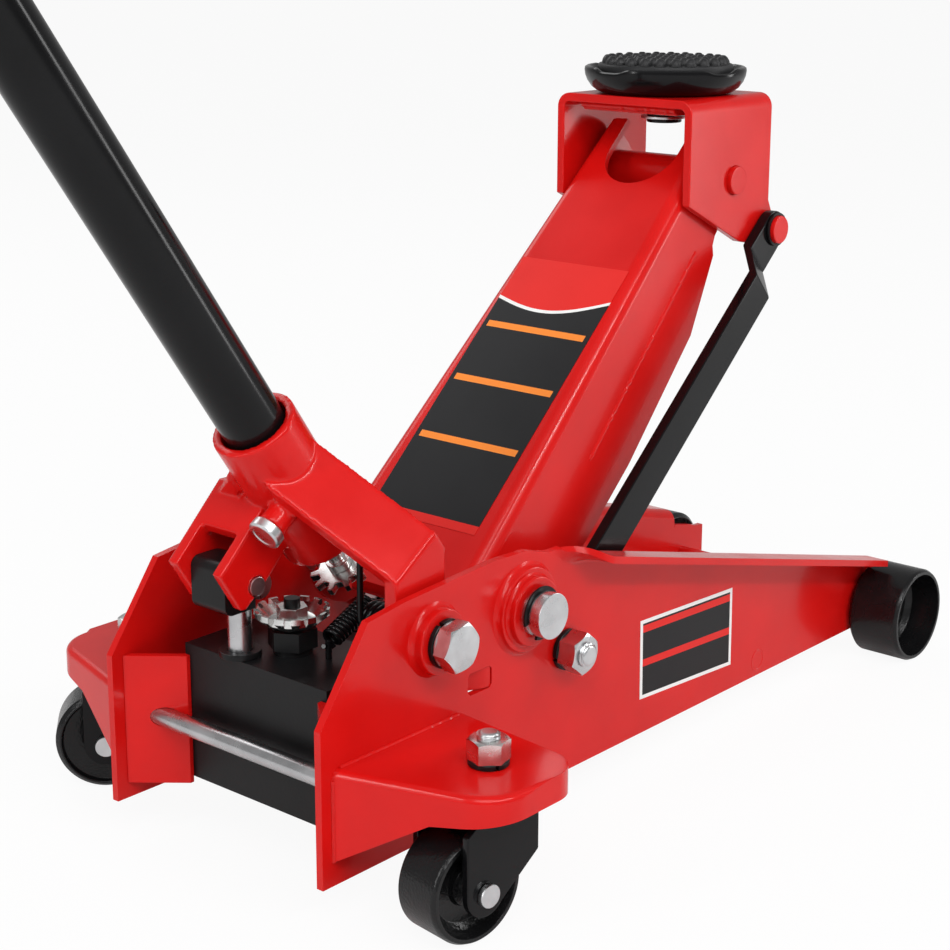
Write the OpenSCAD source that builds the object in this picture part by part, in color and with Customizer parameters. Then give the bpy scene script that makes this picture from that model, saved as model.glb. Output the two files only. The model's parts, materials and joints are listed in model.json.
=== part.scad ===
// Hydraulic trolley jack, raised pose. Millimetres.
// X points forward to the saddle end, Y to the jack's left, Z up. The origin is on the floor,
// in the middle plane, midway between the handle's end and the front of the wheels.
// The modules are drawn from the rear edge of the side plates, and placed() moves them.

/* [Frame] */
// Clear distance between the two side plates
plate_gap = 174; // [150:1:210]
// Side plate thickness
plate_t = 5; // [4:0.5:7]
// Front axle distance ahead of the side plates' rear edge
axle_x = 606.6; // [500:1:730]
// Height of the rear part of the side plates above the floor
plate_top = 184.5; // [170:0.5:200]
// Width of the outward flange along each side plate
flange_w = 22; // [14:1:30]

/* [Wheels] */
// Front wheel diameter
wheel_d = 72; // [60:1:76]
// Front wheel width
wheel_w = 42; // [30:1:50]
// Front axle diameter
axle_d = 18; // [14:0.5:24]
// Caster wheel diameter
caster_d = 65.8; // [54:0.2:68]
// Caster wheel width
caster_w = 33; // [26:1:34]
// Caster trail: kingpin axis to wheel axis
caster_trail = 22.4; // [15:0.2:25]
// Kingpin distance from the middle plane
kingpin_y = 151.7; // [148:0.1:180]

/* [Lift arm] */
// Distance between the arm's two pivot axes
arm_len = 358; // [300:1:400]
// Arm angle above horizontal in the drawn pose
arm_angle = 41; // [0:1:60]
// Arm pivot pin diameter
arm_pin_d = 29; // [24:0.5:32]
// Width across the saddle bracket
bracket_w = 115; // [100:1:125]
// Link bar width
link_w = 26; // [20:1:27]
// Diameter of the pins at the saddle bracket
tip_pin_d = 20; // [16:0.5:22]
// Saddle rim diameter
saddle_d = 114; // [90:1:130]

/* [Handle] */
// Handle tube diameter
tube_d = 38; // [30:0.5:40]
// Handle length from the spindle gear to the tube's end
tube_len = 1080; // [700:10:1300]
// Handle tilt from vertical in the drawn pose
tilt = 34.4; // [20:0.2:45]

/* [Hydraulic unit] */
// Ram rod diameter
ram_d = 24; // [18:1:30]
// Pump plunger diameter
plunger_d = 15; // [12:0.5:18]

/* [Hidden] */
$fn = 64;

red = [0.80, 0.04, 0.04];
black = [0.03, 0.03, 0.03];
zinc = [0.75, 0.76, 0.78];

// Running clearance on the radius, and a small gap between faces
run = 0.05;
gap = 0.4;
eps = 0.01;

in_y = plate_gap / 2;
out_y = in_y + plate_t;

// Flange line of the side plates
flange_x0 = 206;
flange_x1 = axle_x - 12.6;
flange_z0 = plate_top - 6.3;
flange_z1 = wheel_d + 7;
flange_slope = atan((flange_z0 - flange_z1) / (flange_x1 - flange_x0));
flange_l = (flange_x1 - flange_x0) / cos(flange_slope);
bend_out = 9;
bend_in = bend_out - plate_t;
plate_bottom = 26;
plate_front = axle_x + 29.4;

// Pivots on the side plates
arm_x = 177;
arm_z = 147;
stud_x = arm_x + 41;
stud_z = arm_z - 38;
yoke_x = 94;
yoke_z = 150;
bolt_d = 18;
stud_d = 16;
boss_t = 8;
arm_boss_t = 10;
rod_x = 24;
rod_z = 80;
rod_d = 12;
axle_z = wheel_d / 2;

// Caster mounting
kingpin_x = 73;
wing_z = 96.5;
wing_t = 5;
skirt_t = 4;
nose_y = kingpin_y + 8.3;
kingpin_d = 14;
fork_top = 88;
fork_t = 6;
cheek_t = 5;
cheek_in = caster_w / 2 + 2;
caster_axle_d = 10;
caster_turn_right = -7.4;
caster_turn_left = 41;

// Lift arm, in its own frame: pivot at the origin, tip along +X
tip_x = arm_x + arm_len * cos(arm_angle);
tip_z = arm_z + arm_len * sin(arm_angle);
link_x = tip_x + 41;
link_z = tip_z - 38;
arm_t = 5;
arm_base_y = in_y - 23.4;
bracket_t = 6;
bracket_in = bracket_w / 2 - bracket_t;
arm_tip_y = bracket_in - 3.2;
arm_taper = atan((arm_base_y - arm_tip_y) / arm_len);
arm_tube_y = in_y - 15;
lug_r = 50;
lug_pin_d = 18;

// Saddle bracket
bracket_back = 55.2;
bracket_front = 44.8;
bracket_top = 58;
saddle_x = tip_x - 5.8;
saddle_z = tip_z + bracket_top;
post_d = 25;

// Link bars
link_t = 8;
link_low_y = in_y - 4;
link_top_y = bracket_w / 2 + 9;

// Hydraulic unit
block_x0 = 36;
block_x1 = 104;
block_w = plate_gap - 52;
block_z0 = 40;
block_z1 = 127;
cyl_z = 90;
bore_d = 52;
cyl_x1 = 132;
gland_x1 = 142;
ram_face = 193.3;
ram_blade_w = 14;
plunger_x = 44;
plunger_y = 20;
plunger_top = 158.3;
plunger_l = 48;
plunger_bore = 44;
valve_x = 68.5;
valve_r = 23;
stem_d = 10;

// Handle yoke, in its own frame: origin at the spindle gear, Z up the handle
gear_x = 112;
gear_z = 170;
socket_d = tube_d + 14;
socket_z0 = 30;
socket_z1 = 127;
pivot_n = (yoke_x - gear_x) * cos(tilt) + (yoke_z - gear_z) * sin(tilt);
pivot_s = -(yoke_x - gear_x) * sin(tilt) + (yoke_z - gear_z) * cos(tilt);
fork_y = in_y - 3;
fork_w = 10;
strap_n0 = -24;
strap_n1 = 18;
ear_y0 = -3;
ear_y1 = 43;
ear_t = 8;
pin_x = 38;
pin_z = 177;
bolt_s = 80;
bolt_y = -16;
cap_t = 5;
cap_d = tube_d + 5;

// Distance from the side plates' rear edge to the middle of the overall length
handle_end = gear_x - (tube_len + cap_t) * sin(tilt) - cap_d / 2 * cos(tilt);
origin_x = (axle_x + wheel_d / 2 + handle_end) / 2;

function arc(cx, cy, r, a0, a1, n = 12) =
    [for (i = [0 : n]) [cx + r * cos(a0 + (a1 - a0) * i / n), cy + r * sin(a0 + (a1 - a0) * i / n)]];

// Cylinder along Y from y0 to y1 through (x, z)
module rod_y(x, z, d, y0, y1) {
    translate([x, y1, z]) rotate([90, 0, 0]) cylinder(d = d, h = y1 - y0);
}

module hex_y(x, z, af, y0, y1) {
    translate([x, y1, z]) rotate([90, 0, 0]) cylinder(d = af / cos(30), h = y1 - y0, $fn = 6);
}

// XZ outline extruded along Y from y0 to y1
module slab_y(points, y0, y1) {
    translate([0, y1, 0]) rotate([90, 0, 0]) linear_extrude(y1 - y0) polygon(points);
}

module left_side() {
    mirror([0, 1, 0]) children();
}

module placed() {
    translate([-origin_x, 0, 0]) children();
}

module arm_frame() {
    translate([arm_x, 0, arm_z]) rotate([0, -arm_angle, 0]) children();
}

module yoke_frame() {
    translate([gear_x, 0, gear_z]) rotate([0, -tilt, 0]) children();
}

module caster_frame(turn) {
    translate([kingpin_x, -kingpin_y, 0]) rotate([0, 0, turn]) children();
}

// Pressed side plate with outward flange, welded bosses and a lanced slot
module side_plate() {
    web_x = flange_x0 + 16;
    web_z0 = flange_z0 - 12 - 16 * tan(flange_slope);
    web_z1 = flange_z1 - 12;
    color(red) difference() {
        union() {
            slab_y([[0, plate_bottom], [0, 121.5], [39, plate_top - 9], [148, plate_top],
                [196, plate_top - 13], [web_x, web_z0], [flange_x1, web_z1],
                [flange_x1 + 10, web_z1 - 2], [plate_front, web_z1 - 11],
                [plate_front, axle_z - 2], [plate_front - 10, 22]], -out_y, -in_y);
            translate([flange_x0, 0, flange_z0]) rotate([0, flange_slope, 0])
                rotate([90, 0, 90]) linear_extrude(flange_l)
                polygon(concat([[-in_y, -22]],
                    arc(-in_y - bend_out, -bend_out, bend_out, 0, 90),
                    [[-out_y - flange_w, 0], [-out_y - flange_w, -plate_t]],
                    arc(-in_y - bend_out, -bend_out, bend_in, 90, 0),
                    [[-out_y, -22]]));
            rod_y(yoke_x, yoke_z, 40, -out_y - boss_t, -in_y);
            rod_y(arm_x, arm_z, 54, -out_y - arm_boss_t / 2, -in_y);
            rod_y(arm_x, arm_z, 44, -out_y - arm_boss_t, -in_y);
        }
        rod_y(yoke_x, yoke_z, bolt_d + 2 * run, -out_y - 20, -in_y + 5);
        rod_y(arm_x, arm_z, arm_pin_d + 2 * run, -out_y - 20, -in_y + 5);
        rod_y(stud_x, stud_z, stud_d + 2 * run, -out_y - 20, -in_y + 5);
        rod_y(axle_x, axle_z, axle_d + 2 * run, -out_y - 20, -in_y + 5);
        translate([124, -out_y - 5, 105]) cube([22, plate_t + 10, 14]);
    }
}

// Pressed wing that carries a caster, with a skirt round its rear and outer side
module wing() {
    color(red) difference() {
        union() {
            translate([0, 0, wing_z - wing_t]) linear_extrude(wing_t) mirror([0, 1])
                polygon(concat([[8, out_y]], arc(60, nose_y, 31, 163, 90),
                    arc(88, nose_y + 9, 22, 90, 6), [[118, out_y]]));
            translate([0, 0, 38]) linear_extrude(wing_z - 38 - eps) mirror([0, 1])
                polygon(concat([[8, out_y]], arc(60, nose_y, 31, 163, 90),
                    arc(88, nose_y + 9, 22, 90, 20), arc(88, nose_y + 9, 22 - skirt_t, 20, 90),
                    arc(60, nose_y, 31 - skirt_t, 90, 163), [[8 + skirt_t * 1.05, out_y]]));
        }
        translate([kingpin_x, -kingpin_y, wing_z - 20]) cylinder(d = kingpin_d + 2 * run, h = 40);
        translate([-20, 0, 0]) rotate([90, 0, 90]) linear_extrude(200)
            polygon([[-out_y + 1, 0], [-out_y + 1, 40], [-out_y - 58, 75], [-out_y - 140, 86],
                [-out_y - 140, 0]]);
    }
}

// Diagonal stiffening plate between the side plate's rear edge and the tie rod
module gusset() {
    y0 = in_y - gap;
    color(red) difference() {
        translate([0, 0, 36]) linear_extrude(84) mirror([0, 1])
            polygon([[8, y0], [14, y0], [36, y0 - 26], [36, y0 - 30], [33, y0 - 30]]);
        rod_y(rod_x, rod_z, rod_d + 2 * run, -in_y, 0);
    }
}

module tie_rod() {
    color(zinc) rod_y(rod_x, rod_z, rod_d, -in_y + 9, in_y - 9);
}

module front_axle() {
    y1 = out_y + 2 + wheel_w - 20;
    color(red) rod_y(axle_x, axle_z, axle_d, -y1, y1);
}

module arm_pin() {
    y1 = out_y + arm_boss_t + 13;
    color(zinc) difference() {
        rod_y(arm_x, arm_z, arm_pin_d, -y1, y1);
        for (s = [-1, 1]) clip_ring(s * (out_y + arm_boss_t + 3.5), arm_pin_d + 2, arm_pin_d - 2.4, 2.2);
    }
}

module clip_ring(y, d_out, d_in, w) {
    difference() {
        rod_y(arm_x, arm_z, d_out, y - w / 2, y + w / 2);
        rod_y(arm_x, arm_z, d_in, y - w, y + w);
    }
}

module arm_pin_clips() {
    for (s = [-1, 1]) color(black)
        clip_ring(s * (out_y + arm_boss_t + 3.5), arm_pin_d + 5, arm_pin_d - 2.2, 1.8);
}

module handle_bolts() {
    y0 = out_y + boss_t + 4;
    for (s = [0, 1]) mirror([0, s, 0]) color(zinc) union() {
        hex_y(yoke_x, yoke_z, 27, -y0 - 11, -y0);
        rod_y(yoke_x, yoke_z, bolt_d, -y0 - 1, -in_y + 49);
    }
}

module washer_y(x, z, d_out, d_in, y0, y1) {
    difference() {
        rod_y(x, z, d_out, y0, y1);
        rod_y(x, z, d_in, y0 - 1, y1 + 1);
    }
}

module spring_washers() {
    y0 = out_y + boss_t;
    for (s = [0, 1]) mirror([0, s, 0]) color(black) {
        washer_y(yoke_x, yoke_z, 30, bolt_d + 2 * run, -y0 - 4, -y0);
        washer_y(stud_x, stud_z, 26, stud_d + 2 * run, -out_y - 4, -out_y);
        translate([kingpin_x, -kingpin_y, wing_z]) difference() {
            cylinder(d = 24, h = 3.5);
            translate([0, 0, -1]) cylinder(d = kingpin_d + 2 * run, h = 6);
        }
    }
}

module link_studs() {
    for (s = [0, 1]) mirror([0, s, 0]) color(zinc) union() {
        rod_y(stud_x, stud_z, 24, -link_low_y + link_t + 0.3, -link_low_y + link_t + 8);
        rod_y(stud_x, stud_z, stud_d, -out_y - 21, -link_low_y + link_t + 1);
        rod_y(stud_x, stud_z, stud_d + 6, -in_y, -link_low_y - 0.3);
    }
}

module link_nuts() {
    for (s = [0, 1]) mirror([0, s, 0]) color(zinc) difference() {
        hex_y(stud_x, stud_z, 24, -out_y - 17, -out_y - 4);
        rod_y(stud_x, stud_z, stud_d + 2 * run, -out_y - 30, -out_y);
    }
}

// Cast base of the power unit, bored for the ram, the plunger and the valve
module pump_block() {
    color(black) difference() {
        translate([block_x0, -block_w / 2, block_z0])
            cube([block_x1 - block_x0, block_w, block_z1 - block_z0]);
        translate([block_x0 + 17, 0, cyl_z]) rotate([0, 90, 0]) cylinder(d = bore_d, h = 100);
        translate([plunger_x, plunger_y, block_z1 - plunger_bore])
            cylinder(d = plunger_d + 2 * run, h = plunger_bore + 1);
        translate([valve_x, 0, 120]) cylinder(d = stem_d + 2 * run, h = 20);
        translate([88, -38, block_z1 - 8]) cylinder(d = 10 + 2 * run, h = 20);
    }
}

module cylinder_tube() {
    color(black) translate([block_x1, 0, cyl_z]) rotate([0, 90, 0]) difference() {
        cylinder(d = bore_d + 10, h = cyl_x1 - block_x1);
        translate([0, 0, -1]) cylinder(d = bore_d, h = 60);
    }
}

module cylinder_gland() {
    color(black) translate([cyl_x1, 0, cyl_z]) rotate([0, 90, 0]) difference() {
        cylinder(d = bore_d + 12, h = gland_x1 - cyl_x1);
        translate([0, 0, -1]) cylinder(d = ram_d + 2 * run, h = 30);
    }
}

// Piston, rod and flat pushing blade
module ram() {
    color(zinc) translate([0, 0, cyl_z]) rotate([0, 90, 0]) union() {
        translate([0, 0, 96]) cylinder(d = bore_d - 2 * run, h = 10);
        translate([0, 0, 100]) cylinder(d = ram_d, h = ram_face - 105);
        translate([-32, -ram_blade_w / 2, ram_face - 10]) cube([62, ram_blade_w, 10]);
    }
}

module plunger_guide() {
    color(black) translate([plunger_x, plunger_y, block_z1]) difference() {
        cylinder(d = 26, h = 4);
        translate([0, 0, -1]) cylinder(d = plunger_d + 2 * run, h = 8);
    }
}

module plunger() {
    color(zinc) translate([plunger_x, plunger_y, plunger_top - plunger_l])
        cylinder(d = plunger_d, h = plunger_l);
}

module valve_body() {
    color(black) translate([valve_x, 0, block_z1]) difference() {
        union() {
            cylinder(d = 24, h = 5);
            translate([0, 0, 4]) cylinder(d = 27 / cos(30), h = 12, $fn = 6);
        }
        translate([0, 0, -1]) cylinder(d = stem_d + 2 * run, h = 30);
    }
}

module valve_stem() {
    color(black) translate([valve_x, 0, 120.5]) cylinder(d = stem_d, h = 41);
}

// Dished star wheel on the release valve
module valve_gear() {
    teeth = 14;
    color(zinc) translate([valve_x, 0, 145]) difference() {
        rotate_extrude() polygon([[stem_d / 2 + run, 0], [15, 0], [valve_r, 6.5], [valve_r, 10],
            [valve_r - 2, 10], [14, 3.5], [stem_d / 2 + run, 3.5]]);
        for (i = [0 : teeth - 1]) rotate([0, 0, 360 / teeth * (i + 0.5)])
            translate([valve_r - 4, -2.2, -1]) cube([10, 4.4, 14]);
    }
}

module valve_nut() {
    color(zinc) translate([valve_x, 0, 148.6]) difference() {
        cylinder(d = 17 / cos(30), h = 8, $fn = 6);
        translate([0, 0, -1]) cylinder(d = stem_d + 2 * run, h = 20);
    }
}

module filler_plug() {
    color(black) translate([88, -38, block_z1 - 7]) union() {
        cylinder(d = 10, h = 7.5);
        translate([0, 0, 7]) cylinder(d = 16, h = 4);
    }
}

// One tapered side wall of the lift arm, in the arm's own frame
module arm_wall() {
    translate([0, -arm_base_y, 0]) rotate([0, 0, arm_taper])
        slab_y(concat([[-14, 21], [arm_len + 14, 34.2], [arm_len + 19, 26]],
            arc(arm_len, 0, 20, 10, -110), [[arm_len - 40, -26], [arm_len - 52, -34],
            [arm_len - 100, -52], [150, -60], [60, -58]], arc(0, 0, 30, -80, -225)), 0, arm_t);
}

// Box-shaped lift arm: side walls, top plate with a U cut, tubes and push lugs
module lift_arm() {
    top_angle = 2;
    color(red) difference() {
        arm_frame() union() {
            arm_wall();
            left_side() arm_wall();
            translate([0, 0, 21.5]) rotate([0, -top_angle, 0]) translate([0, 0, -arm_t])
                linear_extrude(arm_t) difference() {
                    polygon([[-10, -arm_base_y + 1], [arm_len + 16, -arm_tip_y + 1],
                        [arm_len + 16, arm_tip_y - 1], [-10, arm_base_y - 1]]);
                    translate([arm_len - 11, 0]) circle(r = 29);
                    translate([arm_len - 11, -29]) square([60, 58]);
                }
            rod_y(0, 0, arm_pin_d + 9, -arm_tube_y, arm_tube_y);
            rod_y(arm_len, 0, tip_pin_d + 8, -arm_tip_y + 0.5, arm_tip_y - 0.5);
            for (s = [-1, 1]) translate([0, s * 13, 0]) {
                slab_y([[-16, 0], [16, 0], [11, -lug_r], [-17, -lug_r]], -5, 5);
                rod_y(-2.6, -lug_r, 28, -5, 5);
            }
        }
        arm_frame() {
            rod_y(0, 0, arm_pin_d + 2 * run, -in_y, in_y);
            rod_y(arm_len, 0, tip_pin_d + 2 * run, -in_y, in_y);
            rod_y(-2.6, -lug_r, lug_pin_d + 2 * run, -30, 30);
        }
    }
}

module arm_lug_pin() {
    color(zinc) arm_frame() rod_y(-2.6, -lug_r, lug_pin_d, -21, 21);
}

// Saddle bracket: an inverted channel with pointed lower sides
module saddle_bracket() {
    x0 = tip_x - bracket_back;
    x1 = tip_x + bracket_front;
    z1 = tip_z + bracket_top;
    w = bracket_w / 2;
    r = 10;
    color(red) difference() {
        intersection() {
            translate([x0 - 1, 0, 0]) rotate([90, 0, 90]) linear_extrude(x1 - x0 + 20)
                polygon(concat([[-w, 0]], arc(-w + r, z1 - r, r, 180, 90),
                    arc(w - r, z1 - r, r, 90, 0), [[w, 0], [w - bracket_t, 0]],
                    arc(w - r, z1 - r, r - bracket_t, 0, 90),
                    arc(-w + r, z1 - r, r - bracket_t, 90, 180), [[-w + bracket_t, 0]]));
            slab_y(concat([[x1, z1 + 5], [x0, z1 + 5], [x0, tip_z - 13], [tip_x + 8, tip_z - 44]],
                arc(link_x, link_z, 12.5, -100, 25), [[x1, link_z + 20]]), -w - 5, w + 5);
        }
        translate([saddle_x, 0, z1 - 20]) cylinder(d = post_d + 2 * run, h = 40);
        rod_y(tip_x, tip_z, tip_pin_d + 2 * run, -w - 5, w + 5);
        rod_y(link_x, link_z, tip_pin_d + 2 * run, -w - 5, w + 5);
    }
}

module bracket_stiffener() {
    color(red) difference() {
        translate([saddle_x - 42, -40, saddle_z - bracket_t - 5.5]) cube([84, 80, 5.5]);
        translate([saddle_x, 0, saddle_z - 20]) cylinder(d = post_d + 2 * run, h = 40);
    }
}

module bracket_pin() {
    w = bracket_w / 2;
    color(red) rod_y(tip_x, tip_z, tip_pin_d, -w - 3.5, w + 3.5);
}

module link_pins() {
    for (s = [0, 1]) mirror([0, s, 0]) color(red)
        rod_y(link_x, link_z, tip_pin_d, -link_top_y - 5, -bracket_in + 4);
}

// Flat link bar with a joggle near its upper end
module link_bar() {
    l = arm_len;
    y0 = link_low_y;
    y1 = link_top_y;
    color(black) translate([stud_x, 0, stud_z]) rotate([0, -arm_angle, 0]) difference() {
        intersection() {
            translate([0, -40, 0]) rotate([90, 0, 0]) linear_extrude(60) union() {
                circle(d = link_w);
                translate([0, -link_w / 2]) square([l, link_w]);
                translate([l, 0]) circle(d = link_w);
            }
            translate([0, 0, -30]) linear_extrude(60)
                polygon([[-20, -y0], [l - 52, -y0], [l - 30, -y1], [l + 20, -y1],
                    [l + 20, -y1 + link_t], [l - 28, -y1 + link_t], [l - 50, -y0 + link_t],
                    [-20, -y0 + link_t]]);
        }
        rod_y(0, 0, stud_d + 2 * run, -y0 - 5, -y0 + link_t + 5);
        rod_y(l, 0, tip_pin_d + 2 * run, -y1 - 5, -y1 + link_t + 5);
    }
}

module link_clips() {
    for (s = [0, 1]) mirror([0, s, 0]) color(black)
        washer_y(link_x, link_z, tip_pin_d + 4, tip_pin_d + 2 * run, -link_top_y - 2.2, -link_top_y - 0.3);
}

// Round saddle dish with a post that turns in the bracket
module saddle() {
    r = saddle_d / 2;
    color(black) translate([saddle_x, 0, saddle_z]) difference() {
        union() {
            rotate_extrude() polygon([[0, 0.3], [r - 11, 0.3], [r - 3, 7], [r, 14], [r, 18.5],
                [r - 4, 18.5], [r - 6, 14], [r - 9, 11], [0, 11]]);
            translate([0, 0, -21]) cylinder(d = post_d, h = 25);
        }
        translate([0, 0, -18]) difference() {
            cylinder(d = post_d + 2, h = 2.2);
            translate([0, 0, -1]) cylinder(d = post_d - 2.4, h = 5);
        }
        for (i = [0 : 5]) rotate([0, 0, 60 * i + 30]) translate([r - 2, 0, 18])
            rotate([0, 90, 0]) cylinder(r = 2.4, h = 12, center = true);
    }
}

module saddle_pad() {
    r = saddle_d / 2 - 9.3;
    color(black) translate([saddle_x, 0, saddle_z + 11.1]) union() {
        cylinder(r = r, h = 9.5);
        translate([0, 0, 9]) cylinder(d1 = 8.5, d2 = 4.5, h = 5.3, $fn = 6);
        for (k = [0 : 3]) for (i = [0 : 5 + 6 * k]) rotate([0, 0, 360 / (6 + 6 * k) * i])
            translate([9 + k * (r - 14) / 3.2, 0, 9]) cylinder(d1 = 8.5, d2 = 4.5, h = 5.3, $fn = 6);
    }
}

module saddle_clip() {
    color(zinc) translate([saddle_x, 0, saddle_z - 17.8]) difference() {
        cylinder(d = post_d + 8, h = 1.8);
        translate([0, 0, -1]) cylinder(d = post_d - 2.2, h = 5);
    }
}

// One diagonal strap and pivot cheek of the yoke, in the yoke's own frame
module yoke_side() {
    translate([strap_n0, 0, 0]) rotate([90, 0, 90]) linear_extrude(strap_n1 - strap_n0)
        polygon([[-16, 104], [-fork_y, 37], [-fork_y, 22], [-fork_y + fork_w, 22],
            [-fork_y + fork_w, 33], [-16, 89]]);
    slab_y([[strap_n0, 38], [strap_n1, 38], [strap_n1, 24], [pivot_n + 17, pivot_s - 12],
        [pivot_n, pivot_s - 15], [pivot_n - 20, pivot_s + 4], [pivot_n - 14, 14]],
        -fork_y, -fork_y + fork_w);
    rod_y(pivot_n, pivot_s, 42, -fork_y, -fork_y + fork_w);
}

// Handle socket with two straps to the pivots and two ears over the pump
module yoke() {
    ear = [[9.4, 190], [24.4, 204.4], [52, 232], [64, 224], [70, 207], [60, 192], [46, 178],
        [29, 164.5], [25, 165]];
    color(red) difference() {
        union() {
            yoke_frame() {
                translate([0, 0, socket_z0]) cylinder(d = socket_d, h = socket_z1 - socket_z0);
                yoke_side();
                left_side() yoke_side();
                translate([0, bolt_y, bolt_s]) rotate([0, -90, 0]) cylinder(d = 17, h = 36);
            }
            slab_y(ear, ear_y0, ear_y0 + ear_t);
            slab_y(ear, ear_y1 - ear_t, ear_y1);
            slab_y([[30, 210], [52, 232], [66, 232], [66, 222], [50, 218], [35, 203]],
                ear_y0 + 1, ear_y1 - 1);
        }
        yoke_frame() {
            translate([0, 0, socket_z0 + 5]) cylinder(d = tube_d + 2 * run, h = 100);
            translate([0, 0, socket_z0 + 30]) cylinder(d = tube_d + 3, h = 100);
            translate([0, 0, socket_z0 - 5]) cylinder(d = 10 + 2 * run, h = 30);
            translate([0, bolt_y, bolt_s]) rotate([0, -90, 0]) cylinder(d = 10 + 2 * run, h = 60);
            rod_y(pivot_n, pivot_s, bolt_d + 2 * run, -in_y, in_y);
        }
        rod_y(pin_x, pin_z, 12 + 2 * run, -20, 60);
    }
}

module lock_bolt() {
    color(zinc) yoke_frame() translate([0, bolt_y, bolt_s]) rotate([0, -90, 0]) union() {
        translate([0, 0, 23]) cylinder(d = 10, h = 15);
        translate([0, 0, 36]) cylinder(d = 21, h = 7);
    }
}

module ear_pin() {
    color(zinc) rod_y(pin_x, pin_z, 12, ear_y0 - 0.8, ear_y1 + 0.8);
}

module pump_shoe() {
    x0 = 20;
    x1 = 56;
    z0 = 160;
    z1 = 192;
    r = 6;
    color(black) difference() {
        slab_y(concat(arc(x0 + r, z0 + r, r, 180, 270), arc(x1 - r, z0 + r, r, 270, 360),
            [[x1, z1 - 22]], arc(x1 - 18, z1 - 16, 16, 0, 90), arc(x0 + r, z1 - r, r, 90, 180)),
            ear_y0 + ear_t + gap, ear_y1 - ear_t - gap);
        rod_y(pin_x, pin_z, 12 + 2 * run, -20, 60);
        translate([valve_x, 0, z0 - 1]) cylinder(r = valve_r + 2, h = 24);
    }
}

module spindle() {
    color(zinc) yoke_frame() union() {
        translate([0, 0, -2.5]) cylinder(d = 10, h = 44);
        translate([0, 0, 38.2]) cylinder(d = tube_d - 4 - 2 * run, h = 14);
        translate([0, 0, 2.6]) cylinder(d = 16, h = 6);
    }
}

// Flat star gear at the foot of the spindle
module spindle_gear() {
    teeth = 11;
    r = 21;
    root = 15.5;
    color(zinc) yoke_frame() translate([0, 0, -2.5]) difference() {
        linear_extrude(5) polygon([for (i = [0 : teeth - 1]) for (p = [[-9, root], [-4.5, r], [4.5, r],
            [9, root]]) [p[1] * cos(360 / teeth * i + p[0]), p[1] * sin(360 / teeth * i + p[0])]]);
        translate([0, 0, -1]) cylinder(d = 10 + 2 * run, h = 8);
    }
}

module handle_tube() {
    color(black) yoke_frame() translate([0, 0, 38]) difference() {
        cylinder(d = tube_d, h = tube_len - 38);
        translate([0, 0, -1]) cylinder(d = tube_d - 4, h = tube_len);
    }
}

module handle_grip() {
    color(black) yoke_frame() translate([0, 0, tube_len - 150]) difference() {
        union() {
            cylinder(d = tube_d + 7, h = 148);
            for (i = [0 : 8]) translate([0, 0, 8 + i * 15]) cylinder(d = tube_d + 10, h = 8);
        }
        translate([0, 0, -1]) cylinder(d = tube_d + 2 * run, h = 160);
    }
}

module handle_cap() {
    color(black) yoke_frame() translate([0, 0, tube_len]) union() {
        translate([0, 0, -18]) cylinder(d = tube_d - 4 - 2 * run, h = 19);
        cylinder(d = cap_d, h = cap_t);
    }
}

// Coil round the right handle bolt, drawn as rings on a thin sleeve, with one leg
module torsion_spring() {
    wire = 4;
    pitch = 4.2;
    turns = 6;
    coil_r = bolt_d / 2 + 0.3 + wire / 2;
    y0 = -in_y + 18;
    y1 = y0 + (turns - 0.5) * pitch;
    color(black) translate([yoke_x, 0, yoke_z]) union() {
        for (i = [0 : turns - 1]) translate([0, y0 + (i + 0.5) * pitch, 0]) rotate([90, 0, 0])
            rotate_extrude($fn = 40) translate([coil_r, 0]) circle(d = wire, $fn = 14);
        washer_y(0, 0, 2 * coil_r + 1.6, 2 * coil_r - 1.6, y0 + pitch / 2, y1);
        translate([-coil_r, y1, 0]) cylinder(d = wire - 0.6, h = 62);
    }
}

// Small tension spring from the power unit forward, drawn as touching rings
module return_spring() {
    color(black) union() {
        translate([76, -25, 139]) rotate([0, 65, 0]) union() {
            for (i = [0 : 12]) translate([0, 0, i * 2.7]) rotate_extrude($fn = 32)
                translate([5.5, 0]) circle(d = 2.8, $fn = 14);
            translate([0, 0, -3]) cylinder(d = 11, h = 6);
        }
        translate([74, -25, block_z1 + 0.3]) cylinder(d = 4, h = 12);
    }
}

module caster_fork(turn) {
    r = 14;
    caster_frame(turn) color(black) difference() {
        union() {
            for (s = [-1, 1]) translate([0, s * (cheek_in + cheek_t / 2), 0])
                slab_y(concat([[-20, fork_top - fork_t], [-20, fork_top], [17.5, fork_top], [17.5, 48]],
                    arc(-caster_trail, caster_d / 2, r, -35, -180), [[-caster_trail - r, 70]]),
                    -cheek_t / 2, cheek_t / 2);
            translate([-20, -cheek_in - 1, fork_top - fork_t]) cube([37.5, 2 * cheek_in + 2, fork_t]);
            translate([0, 0, fork_top - 1]) cylinder(d = 34, h = wing_z - wing_t - fork_top + 0.7);
        }
        translate([0, 0, 50]) cylinder(d = kingpin_d + 2 * run, h = 60);
        rod_y(-caster_trail, caster_d / 2, caster_axle_d + 2 * run, -60, 60);
    }
}

module caster_axle(turn) {
    y1 = cheek_in + cheek_t;
    caster_frame(turn) color(zinc) union() {
        rod_y(-caster_trail, caster_d / 2, caster_axle_d, -y1 - 1, y1 + 1);
        rod_y(-caster_trail, caster_d / 2, 14, -y1 - 4, -y1);
        rod_y(-caster_trail, caster_d / 2, 14, y1, y1 + 4);
    }
}

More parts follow.
